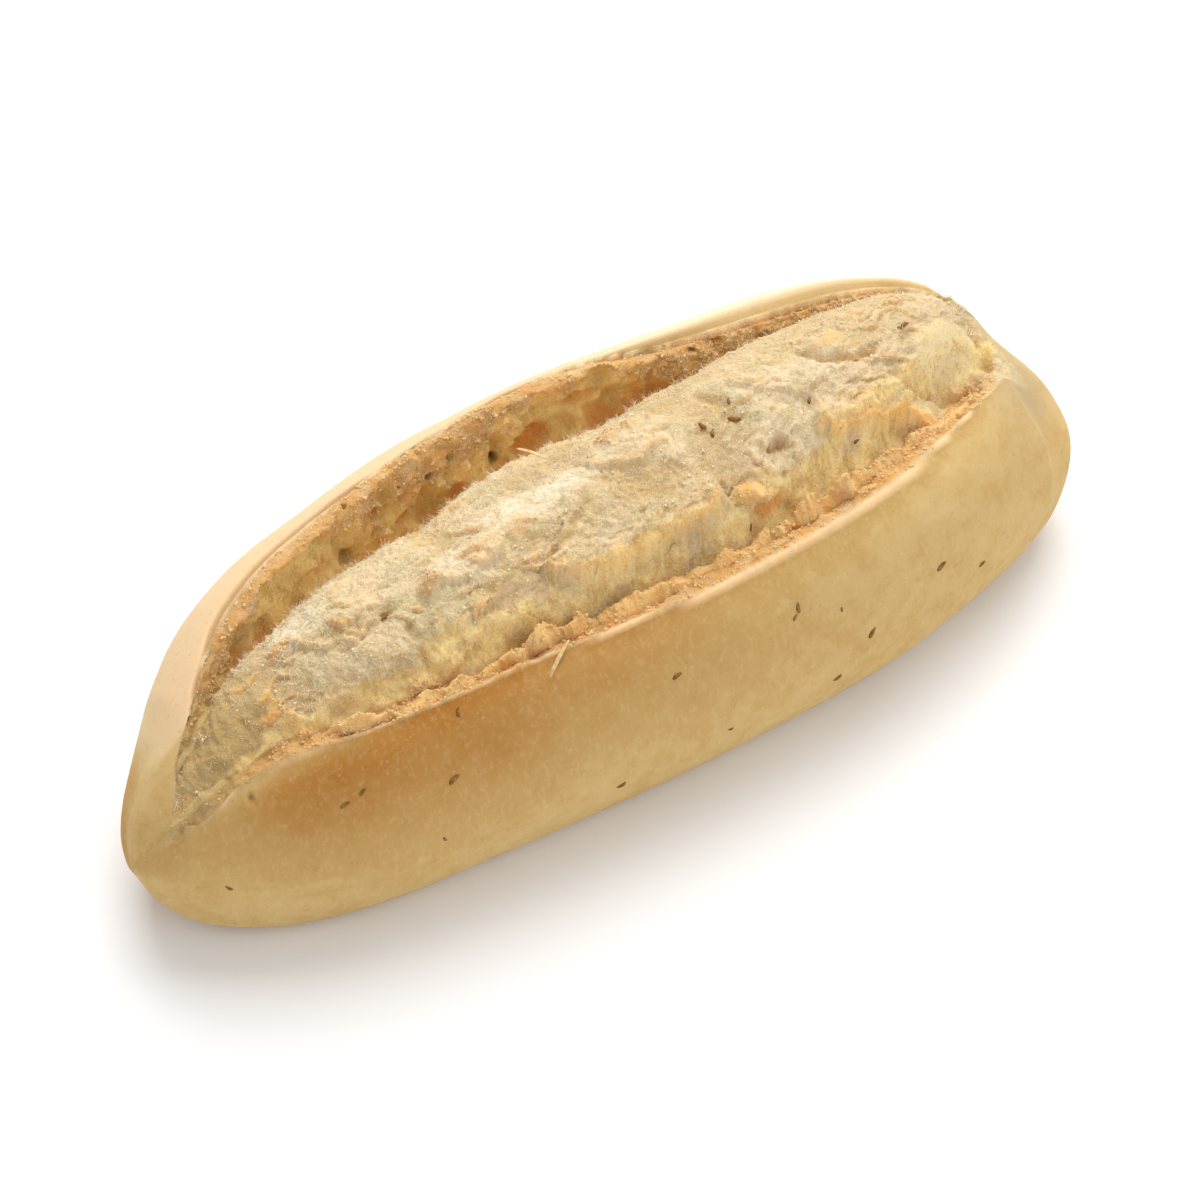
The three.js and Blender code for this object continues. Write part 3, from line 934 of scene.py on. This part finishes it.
def fibre_piece(name, roots, ways, lengths, radius, curl, material, seed):
    """Thin tapering hairs: each leaves its root along its way and curls."""
    random = np.random.default_rng(seed)
    count = len(roots)
    bend = directions(count, random) * curl + np.array([0, 0, -0.25]) * curl
    first = unit(np.cross(ways, directions(count, random)))
    second = np.cross(ways, first)
    rings = []
    for t in (0.0, 0.4, 0.75):
        middle = roots + lengths[:, None] * (ways * t + bend * t * t)
        size = radius * (1 - 0.55 * t)
        for angle in (0, 2 * math.pi / 3, 4 * math.pi / 3):
            rings.append(middle + size * (math.cos(angle) * first + math.sin(angle) * second))
    tip = roots + lengths[:, None] * (ways + bend)
    # Ten points each: three rings of three, then the tip.
    vertices = np.stack(rings + [tip], axis=1).reshape(-1, 3)
    base = np.arange(count)[:, None] * 10
    quads = [base + [3 * r + i, 3 * r + (i + 1) % 3, 3 * r + 3 + (i + 1) % 3, 3 * r + 3 + i]
             for r in (0, 1) for i in range(3)]
    triangles = [base + [6 + i, 6 + (i + 1) % 3, 9] for i in range(3)] + [base + [2, 1, 0]]
    return mesh_object(name, vertices, [np.concatenate(quads), np.concatenate(triangles)], material)


def icosahedron():
    """Corners and faces of a unit icosahedron."""
    golden = (1 + math.sqrt(5)) / 2
    corners = np.array([
        corner for a in (-1, 1) for b in (-golden, golden)
        for corner in ((0, a, b), (a, b, 0), (b, 0, a))
    ]) / math.sqrt(1 + golden**2)
    edge = 2 / math.sqrt(1 + golden**2) * 1.01
    apart = np.linalg.norm(corners[:, None] - corners[None], axis=2)
    faces = []
    for i, j, k in itertools.combinations(range(len(corners)), 3):
        if max(apart[i, j], apart[j, k], apart[i, k]) < edge:
            outward = np.cross(corners[j] - corners[i], corners[k] - corners[i]) @ corners[i]
            faces.append((i, j, k) if outward > 0 else (i, k, j))
    return corners, np.array(faces)


def granule_piece(name, centres, sizes, material, seed):
    """Small lumpy grains of crumb."""
    random = np.random.default_rng(seed)
    corners, faces = icosahedron()
    count = len(centres)
    stretch = 0.7 + 0.6 * random.random((count, 1, 3))
    lumps = 0.75 + 0.5 * random.random((count, len(corners), 1))
    turn = directions(count, random)
    other = unit(np.cross(turn, directions(count, random)))
    axes = np.stack([turn, other, np.cross(turn, other)], axis=1)
    shapes = np.einsum("nij,njk->nik", corners * stretch * lumps, axes)
    vertices = centres[:, None] + sizes[:, None, None] * shapes
    triangles = (np.arange(count)[:, None, None] * len(corners) + faces).reshape(-1, 3)
    return mesh_object(name, vertices.reshape(-1, 3), [triangles], material)


def chosen(weight, count, random):
    """Indices drawn with a chance in proportion to the weight."""
    weight = np.clip(weight, 0, None)
    return random.choice(len(weight), size=count, p=weight / weight.sum())


# ---- Anise seeds and straw --------------------------------------------------------------

# Seeds: place in mm, turn from the loaf's length in degrees, and length.
SEEDS = [
    ((-51.7, -32.1, 34.8), 10, 2.8), ((-71.9, -26.7, 35.8), -10, 2.2), ((-68.3, -27.6, 36.6), 10, 1.8),
    ((-46.8, -26.2, 43.4), 60, 1.9), ((-5.5, -36.6, 35.9), 5, 2.3), ((22.2, -36.9, 36.8), 80, 2.3),
    ((21, -37, 35.4), 40, 1.6), ((37.5, -40.9, 23.5), 85, 2.8), ((56, -38.2, 27.9), 50, 2.8),
    ((67.6, -36.9, 19.5), 80, 2.2), ((29.3, -40.9, 15.2), 30, 2.2), ((4.5, -40.5, 17.3), 20, 1.4),
    ((-19.4, -38.7, 15.6), 45, 2.2), ((-55.8, -34.7, 21), 40, 1.5), ((31, -37.5, 33), 85, 1.2),
    ((-49, -5, 52.6), 20, 2.3), ((73, -1.6, 53.6), 15, 2.4), ((71.6, -2.2, 53.6), -30, 1.8),
    ((44.9, -8.5, 55.4), 60, 1.8), ((23.8, -2.9, 57), 100, 2.2), ((24.3, -5.5, 56.6), 60, 2),
    ((29.4, -4.9, 57), 125, 3), ((31, -1, 57), 60, 1.8), ((51.4, -15.4, 46.4), 20, 1.6),
    ((23, -20.5, 44), 85, 1.8), ((-39.9, 23.3, 49.3), 30, 2), ((-27.5, 24.2, 46), 0, 1.4),
    ((90, 20, 25), 20, 2.2), ((10, 40, 25), 70, 2.2), ((-40, 38, 30), 10, 2.4),
    ((-68, 33, 22), 40, 2), ((50, 34, 38), -20, 2.2), ((-95, -22, 20), 60, 1.8),
]
# Shares of a seed's length.
SEED_WIDTH = 0.36
SEED_SINK = 0.03
SEED_BEND = 0.09
SEED_RINGS = 12
SEED_SIDES = 15
SEED_RIBS = 5
# Slivers of straw: start, middle and end in mm.
STRAWS = [
    ((-22.0, -25.4, 46.6), (-25.8, -27.4, 46.2), (-29.4, -29.2, 43.2)),
    ((-4.6, 6.2, 56.0), (-6.2, 10.0, 56.2), (-7.8, 12.8, 55.2)),
]
STRAW_WIDTH = 0.42
STRAW_THICKNESS = 0.14
STRAW_RINGS = 16
STRAW_SIDES = 8


def seed_shape():
    """A curved, ribbed seed along x, one long, as a closed tube of points."""
    u = np.linspace(-1, 1, SEED_RINGS)
    body = np.sqrt(np.clip(1 - u**2, 0.004, 1)) * (1 - 0.25 * u)
    turn = np.linspace(0, 2 * math.pi, SEED_SIDES, endpoint=False)
    ribs = 1 + 0.14 * np.cos(SEED_RIBS * turn)
    radius = SEED_WIDTH / 2 * body[:, None] * ribs[None]
    bend = SEED_BEND * (1 - u**2)
    x = np.broadcast_to(u[:, None] / 2, radius.shape)
    return np.stack([x, radius * np.cos(turn) + bend[:, None], radius * np.sin(turn)], axis=2)


def surface_frame(at, points, normals):
    """Nearest point of the skin to a spot, and the skin's normal there."""
    index = np.argmin(np.linalg.norm(points - np.array(at), axis=1))
    nearby = np.linalg.norm(points - points[index], axis=1) < 2.0
    return points[index], unit(normals[nearby].mean(axis=0))


def seed_piece(material, points, normals):
    """All seeds as one mesh, each lying on the skin."""
    shape = seed_shape()
    seeds = []
    for at, degrees, length in SEEDS:
        centre, normal = surface_frame(at, points, normals)
        east = unit(np.cross((0, 1, 0), normal))
        north = np.cross(normal, east)
        angle = math.radians(degrees)
        way = math.cos(angle) * east + math.sin(angle) * north
        side = np.cross(normal, way)
        body = shape * length
        centre = centre - SEED_SINK * length * normal
        seeds.append(centre + body[..., :1] * way + body[..., 1:2] * side + body[..., 2:] * normal)
    return tube_piece("anise_seeds", seeds, material)


def straw_piece(material):
    """Pale slivers of straw that lie on the loaf."""
    slivers = []
    for ends in STRAWS:
        start, middle, end = np.array(ends, float)
        t = np.linspace(0, 1, STRAW_RINGS)[:, None]
        path = (1 - t) ** 2 * start + 2 * t * (1 - t) * middle + t**2 * end
        run = unit(np.gradient(path, axis=0))
        side = unit(np.cross(run, (0, 0, 1)))
        up = np.cross(side, run)
        turn = np.linspace(0, 2 * math.pi, STRAW_SIDES, endpoint=False)[None, :, None]
        width = STRAW_WIDTH * (1 - 0.6 * np.abs(2 * t - 1) ** 3)[..., None]
        ring = side[:, None] * (width * np.cos(turn)) + up[:, None] * (STRAW_THICKNESS * np.sin(turn))
        slivers.append(path[:, None] + ring)
    return tube_piece("straw_slivers", slivers, material)


# ---- Materials --------------------------------------------------------------------------


class Nodes:
    """A small helper to write a node material as a chain of calls."""

    def __init__(self, name):
        self.material = bpy.data.materials.new(name)
        self.material.use_nodes = True
        self.tree = self.material.node_tree

    def feed(self, socket, value):
        """Links a socket, or sets a number or a colour (r, g, b) on it."""
        if isinstance(value, bpy.types.NodeSocket):
            self.tree.links.new(value, socket)
        elif socket.type == "RGBA":
            socket.default_value = (*value, 1)
        else:
            socket.default_value = value

    def add(self, kind, output, inputs, **settings):
        """A node with its settings and inputs; gives the named output."""
        node = self.tree.nodes.new(kind)
        for key, value in settings.items():
            setattr(node, key, value)
        for name, value in inputs.items():
            self.feed(node.inputs[name], value)
        return node.outputs[output]

    def surface(self, inputs):
        """Feeds the surface shader."""
        for name, value in inputs.items():
            self.feed(self.tree.nodes["Principled BSDF"].inputs[name], value)

    def value(self, name, strength=1.0):
        """What the vertices carry under a name."""
        carried = self.add("ShaderNodeAttribute", "Fac", {}, attribute_name=name)
        return carried if strength == 1.0 else self.times(carried, strength)

    def position(self, stretch):
        """Object position in mm, stretched."""
        where = self.add("ShaderNodeTexCoord", "Object", {})
        scale = [1 / MM * part for part in stretch]
        return self.add("ShaderNodeMapping", "Vector", {"Vector": where, "Scale": scale})

    def grain(self, size, detail=3.0, roughness=0.55, stretch=(1, 1, 1), distortion=0.0):
        """Noise whose features are about size mm across, 0 to 1."""
        return self.add("ShaderNodeTexNoise", "Fac", {
            "Vector": self.position(stretch), "Scale": 1 / size, "Detail": detail,
            "Roughness": roughness, "Distortion": distortion,
        })

    def spots(self, size):
        """Distance to the nearest of spots that are about size mm apart."""
        vector = self.position((1, 1, 1))
        return self.add("ShaderNodeTexVoronoi", "Distance", {"Vector": vector, "Scale": 1 / size})

    def ramp(self, source, low, high, to_low=0.0, to_high=1.0):
        return self.add("ShaderNodeMapRange", "Result", {
            "Value": source, "From Min": low, "From Max": high, "To Min": to_low, "To Max": to_high,
        }, clamp=True)

    def math(self, operation, *values):
        node = self.tree.nodes.new("ShaderNodeMath")
        node.operation = operation
        for socket, value in zip(node.inputs, values):
            self.feed(socket, value)
        return node.outputs["Value"]

    def times(self, first, second):
        return self.math("MULTIPLY", first, second)

    def blend(self, share, first, second):
        """Colour mix; a colour is an (r, g, b) or a socket."""
        node = self.tree.nodes.new("ShaderNodeMix")
        node.data_type = "RGBA"
        factor = next(socket for socket in node.inputs if socket.type == "VALUE")
        colours = [socket for socket in node.inputs if socket.type == "RGBA"]
        for socket, value in zip([factor, *colours], (share, first, second)):
            self.feed(socket, value)
        return next(socket for socket in node.outputs if socket.type == "RGBA")

    def bump(self, height, distance, strength):
        return self.add("ShaderNodeBump", "Normal", {
            "Height": height, "Distance": distance * MM, "Strength": strength,
        })


def srgb(red, green, blue):
    """Linear colour from 0-255 display values."""
    parts = [value / 255 for value in (red, green, blue)]
    return tuple(part / 12.92 if part <= 0.04045 else ((part + 0.055) / 1.055) ** 2.4 for part in parts)


CRUST_GOLD = srgb(197, 164, 105)
CRUST_PALE = srgb(218, 192, 140)
CRUST_BROWN = srgb(172, 118, 52)
CRUST_FLECK = srgb(226, 196, 146)
CRUST_CREAM = srgb(216, 180, 130)
RIM_PINK = srgb(246, 208, 160)
CRUMB_CREAM = srgb(222, 200, 161)
CRUMB_GREY = srgb(200, 181, 136)
# Painted shade of pits, hollows and creases in the crumb.
CRUMB_PIT_SHADE = srgb(190, 150, 90)
CRUMB_OLIVE = srgb(174, 146, 95)
CRUMB_GOLD = srgb(230, 200, 146)
CRUMB_PALE = srgb(244, 230, 202)
CRUMB_SHADE = srgb(190, 165, 120)
# Yellow of the front wall: partly the toasted crumb's own colour, partly painted glow of light soaking
# through it.
WALL_TOAST_AND_GLOW = srgb(237, 206, 134)
WALL_STRAND = srgb(250, 226, 164)
# Painted glow of light that soaks through the thin back wall.
WALL_PAINTED_GLOW = srgb(250, 223, 152)
# Colour and strength of the emission that paints the glow on the back wall.
WALL_LIGHT = srgb(255, 212, 134)
THROUGH_LIGHT = 0.15
GRAIN_GOLD = srgb(212, 158, 92)
FILM_OLIVE = srgb(222, 203, 156)
TOAST_GOLD = srgb(240, 186, 110)
# Painted glow and shade of deep holes and the groove's foot.
CAVE_PAINTED_GLOW = srgb(240, 168, 80)
# Painted shade inside dark pores.
PORE_PAINTED_SHADE = srgb(112, 76, 34)
# Painted shade along the fold at the back lip's edge.
SEAM_PAINTED_SHADE = srgb(172, 126, 76)
CRUST_MILK = srgb(234, 208, 172)
CRUST_ASH = srgb(174, 155, 119)
# How far red, green and blue light spreads inside the crumb, as shares of a scale.
CRUMB_SCATTER = (1.0, 0.6, 0.3)


def layered(n, colour, layers):
    """Colours laid over each other, each with its share."""
    for share, over in layers:
        colour = n.blend(share, colour, over)
    return colour


def crust_colour(n):
    """Cream where the loaf swelled last, then golden to browned, lightly mottled and flecked; the bake
    also carries painted shade below the front lip.
    """
    bake = n.math("ADD", n.value("bake"), n.ramp(n.grain(5, 5, roughness=0.6), 0.3, 0.7, -0.12, 0.12))
    streak = n.grain(1.0, 5, stretch=(1, 1, 0.35), roughness=0.65)
    large = n.ramp(n.spots(2.3), 0.16, 0.06, 0.0, 0.3)
    small = n.ramp(n.spots(0.8), 0.2, 0.08, 0.0, 0.25)
    return layered(n, CRUST_CREAM, [
        (n.ramp(bake, -1.0, -0.4), CRUST_PALE),
        (n.ramp(bake, -0.5, 0.1), CRUST_GOLD),
        (n.ramp(bake, 0.0, 1.0), CRUST_BROWN),
        (n.ramp(streak, 0.5, 0.78, 0.0, 0.3), CRUST_FLECK),
        (n.times(n.math("ADD", large, small), n.ramp(n.grain(4, 2), 0.45, 0.65)), CRUST_FLECK),
        (n.value("milky"), CRUST_MILK),
        (n.value("ashen", 0.8), CRUST_ASH),
        (n.ramp(n.grain(1.2, 4, roughness=0.7), 0.42, 0.28, 0.0, 0.35), CRUST_BROWN),
    ])


def crumb_colour(n):
    """Cream and grey crumb, its walls, grains, films, threads and toasted tips, with painted shade in
    hollows and pores and painted glow on the walls and in the caves.
    """
    threads = n.math("ABSOLUTE", n.math("SUBTRACT", n.grain(2.4, 3, distortion=1.6), 0.5))
    strands = n.ramp(n.grain(1.1, 4, stretch=(1, 1, 0.2), roughness=0.6), 0.38, 0.62)
    return layered(n, CRUMB_CREAM, [
        (n.ramp(n.grain(8, 4), 0.4, 0.62), CRUMB_GREY),
        (n.ramp(n.grain(11, 3), 0.5, 0.68, 0.0, 0.5), CRUMB_GOLD),
        (n.ramp(n.value("shade"), 0, 1, 0.0, 0.8), CRUMB_PALE),
        (n.ramp(n.value("shade"), 0, -1, 0.0, 0.8), CRUMB_SHADE),
        (n.ramp(threads, 0.05, 0.0, 0.0, 0.4), CRUMB_PALE),
        (n.value("stringy", 0.85), CRUMB_OLIVE),
        # The front wall's yellow, partly its own toast and partly painted glow, with pale strands.
        (n.value("wall", 0.9), n.blend(strands, WALL_TOAST_AND_GLOW, WALL_STRAND)),
        # Painted glow on the back wall and the ridges.
        (n.value("painted_wall_glow"), WALL_PAINTED_GLOW),
        (n.times(n.value("grain"), n.ramp(n.grain(3.5, 3), 0.3, 0.6, 0.45, 1.0)), GRAIN_GOLD),
        (n.value("film", 0.7), FILM_OLIVE),
        # Fine specks of painted pit shade at random, then painted shade in hollows and creases.
        (n.ramp(n.grain(0.7, 4, roughness=0.65), 0.52, 0.3, 0.0, 0.35), CRUMB_PIT_SHADE),
        (n.value("hollow_shade", 0.6), CRUMB_PIT_SHADE),
        # Painted glow and shade in the caves.
        (n.value("cave", 0.8), CAVE_PAINTED_GLOW),
        (n.value("toast"), TOAST_GOLD),
        # Painted shade inside the dark pores.
        (n.value("pore"), PORE_PAINTED_SHADE),
    ])


def bread_material():
    """Crust and crumb, mixed by what each vertex carries."""
    n = Nodes("baked_bread")
    crumb = n.value("crumb")
    colour = layered(n, crust_colour(n), [
        (crumb, crumb_colour(n)),
        (n.value("rim", 0.9), RIM_PINK),
        # Painted shade along the fold at the back lip's edge.
        (n.value("seam_shade", 0.7), SEAM_PAINTED_SHADE),
    ])

    fine = n.grain(0.35, 4, roughness=0.7)
    crust_height = n.math("ADD", n.times(fine, 0.25), n.times(n.grain(1.6, 3), 0.25))
    crumb_height = n.times(n.math("ADD", fine, n.spots(0.6)), n.ramp(n.value("film"), 0, 1, 1.0, 0.3))
    crust = n.math("SUBTRACT", 1.0, crumb)
    height = n.math("ADD", n.times(crust_height, crust), n.times(crumb_height, crumb))

    # Painted glow: an emission that stands in for light from behind soaking through the thin torn wall.
    patchy = n.ramp(n.grain(1.5, 4, roughness=0.65), 0.3, 0.65, 0.3, 1.0)
    n.surface({
        "Base Color": colour,
        "Normal": n.bump(height, 0.28, 0.8),
        "Roughness": n.ramp(crumb, 0, 1, 0.75, 0.95),
        "Specular IOR Level": 0.1,
        "Subsurface Weight": 0.3,
        "Subsurface Radius": CRUMB_SCATTER,
        "Subsurface Scale": 2.2 * MM,
        "Emission Color": WALL_LIGHT,
        "Emission Strength": n.times(n.times(n.value("through"), patchy), THROUGH_LIGHT),
    })
    return n.material


def speckled_material(name, light, dark, size, roughness=0.75):
    """Two tones in patches of a size in mm, with a fine bump."""
    n = Nodes(name)
    n.surface({
        "Base Color": n.blend(n.ramp(n.grain(size, 4), 0.35, 0.65), light, dark),
        "Normal": n.bump(n.grain(size / 4, 3), 0.15, 0.6),
        "Roughness": roughness,
        "Specular IOR Level": 0.25,
        "Subsurface Weight": 0.2,
        "Subsurface Radius": CRUMB_SCATTER,
        "Subsurface Scale": 1.2 * MM,
    })
    return n.material


# ---- Floor, light and camera ------------------------------------------------------------


FLOOR_SIZE = 6
FLOOR_SHADE = 0.93
SKY_STRENGTH = 0.56
# Soft lamps: name, place in metres, size and power. They shine at a spot inside the loaf.
LAMPS = [("key", (0.34, 0.46, 0.88), 1.0, 12.4), ("fill", (0.1, -1.0, 0.7), 1.4, 5)]
LAMP_TARGET = Vector((0, 0, 0.03))


def studio():
    """A pale floor, an even white sky and two soft lamps."""
    n = Nodes("pale_floor")
    n.surface({"Base Color": (FLOOR_SHADE,) * 3, "Roughness": 0.9})
    bpy.ops.mesh.primitive_plane_add(size=FLOOR_SIZE, location=(0, 0, 0))
    floor = bpy.context.object
    floor.name = "floor"
    floor.data.materials.append(n.material)

    world = bpy.data.worlds.new("studio")
    bpy.context.scene.world = world
    world.use_nodes = True
    background = world.node_tree.nodes["Background"]
    background.inputs["Color"].default_value = (1, 1, 1, 1)
    background.inputs["Strength"].default_value = SKY_STRENGTH

    for name, where, size, power in LAMPS:
        light = bpy.data.lights.new(name, "AREA")
        light.size = size
        light.energy = power
        lamp = bpy.data.objects.new(name, light)
        lamp.location = where
        lamp.rotation_euler = (LAMP_TARGET - Vector(where)).to_track_quat("-Z", "Y").to_euler()
        bpy.context.collection.objects.link(lamp)


CAMERA_AZIMUTH = -34.5
CAMERA_ELEVATION = 50.0
CAMERA_LENS = 120.0
CAMERA_DISTANCE = 0.764
CAMERA_TARGET = Vector((-0.003, -0.00785, 0.028))


def camera():
    turn, tilt = math.radians(CAMERA_AZIMUTH), math.radians(CAMERA_ELEVATION)
    back = Vector((math.sin(turn) * math.cos(tilt), -math.cos(turn) * math.cos(tilt), math.sin(tilt)))
    data = bpy.data.cameras.new("camera")
    data.lens = CAMERA_LENS
    data.sensor_width = 36
    data.clip_start = 0.01
    data.clip_end = 20
    view = bpy.data.objects.new("camera", data)
    view.location = CAMERA_TARGET + back * CAMERA_DISTANCE
    view.rotation_euler = back.to_track_quat("Z", "Y").to_euler()
    bpy.context.collection.objects.link(view)
    bpy.context.scene.camera = view


# ---- The loaf ---------------------------------------------------------------------------


def keep(piece):
    """Every piece rides on the one body."""
    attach(piece, "root")


# Grains on the golden crumb, on the ridges and on the mound.
GOLDEN_GRAINS = 6300
RIDGE_GRAINS = 3000
PALE_GRAINS = 1500

bread = bread_material()
skin, surface, normals, masks, around, opening = loaf_piece(bread)
keep(skin)
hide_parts("loaf")

torn, torn_points = ridge_piece(bread)
keep(torn)

random = np.random.default_rng(11)
share = 1.0
wild = directions(len(surface), random)
patchy = smooth(-0.35, 0.35, noise(surface / 2.2, 160))
torn_crumb = smooth(0.1, 0.3, opening) * masks["crumb"] * (1 - 0.9 * masks["stringy"]) * patchy
mound_crumb = band(12.2, 16.4, around) * torn_crumb * (1 - masks["film"])


def grow(name, weight, count, way, length, radius, curl, material, seed):
    """Fibres on the skin where the weight is high: length is a pair of limits in mm."""
    root = chosen(weight, int(count * share), random)
    lengths = mix(*length, random.random(len(root)) ** 2)
    keep(fibre_piece(name, surface[root], unit(way(root)), lengths, radius, curl, material, seed))


fluff = speckled_material("crumb_fibre", srgb(252, 240, 212), srgb(238, 218, 176), 6.0)
golden_fluff = speckled_material("golden_fibre", srgb(255, 236, 184), srgb(240, 206, 140), 5.0)
grow(
    "fringe_fibres", band(15.6, 16.5, around) * torn_crumb, count=5000,
    way=lambda root: 0.9 * wild[root] + 0.3 * normals[root] + np.array([0.1, 0.3, -0.1]),
    length=(0.3, 1.4), radius=0.055, curl=0.6, material=fluff, seed=3,
)
grow(
    "wall_fibres", (band(10.8, 12.4, around) + band(17.6, 19.4, around)) * torn_crumb, count=7000,
    way=lambda root: 0.5 * wild[root] + 0.15 * normals[root] + np.array([0, 0, 0.9]),
    length=(0.5, 2.6), radius=0.06, curl=0.4, material=golden_fluff, seed=4,
)
grow(
    "mound_fibres", mound_crumb, count=9000,
    way=lambda root: wild[root] + 0.2 * normals[root],
    length=(0.4, 1.7), radius=0.065, curl=0.7, material=fluff, seed=5,
)

golden = speckled_material("golden_grain", srgb(234, 196, 140), srgb(216, 168, 108), 3.0)
root = chosen(masks["grain"] * torn_crumb, int(GOLDEN_GRAINS * share), random)
top = torn_points[random.integers(0, len(torn_points), int(RIDGE_GRAINS * share))]
centres = np.concatenate([surface[root], top])
sizes = 0.12 + 0.3 * random.random(len(centres)) ** 3
keep(granule_piece("golden_granules", centres, sizes, golden, seed=6))

pale = speckled_material("pale_grain", srgb(244, 226, 188), srgb(222, 200, 154), 4.0)
root = chosen(mound_crumb, int(PALE_GRAINS * share), random)
sizes = 0.1 + 0.28 * random.random(len(root)) ** 3
keep(granule_piece("pale_granules", surface[root], sizes, pale, seed=7))

seed_brown = speckled_material("anise_brown", srgb(158, 112, 50), srgb(104, 70, 28), 0.6, roughness=0.7)
keep(seed_piece(seed_brown, surface, normals))
straw_pale = speckled_material("straw_pale", srgb(222, 194, 144), srgb(202, 166, 112), 0.8, roughness=0.5)
keep(straw_piece(straw_pale))

studio()
camera()
bpy.context.scene.view_settings.view_transform = "Standard"
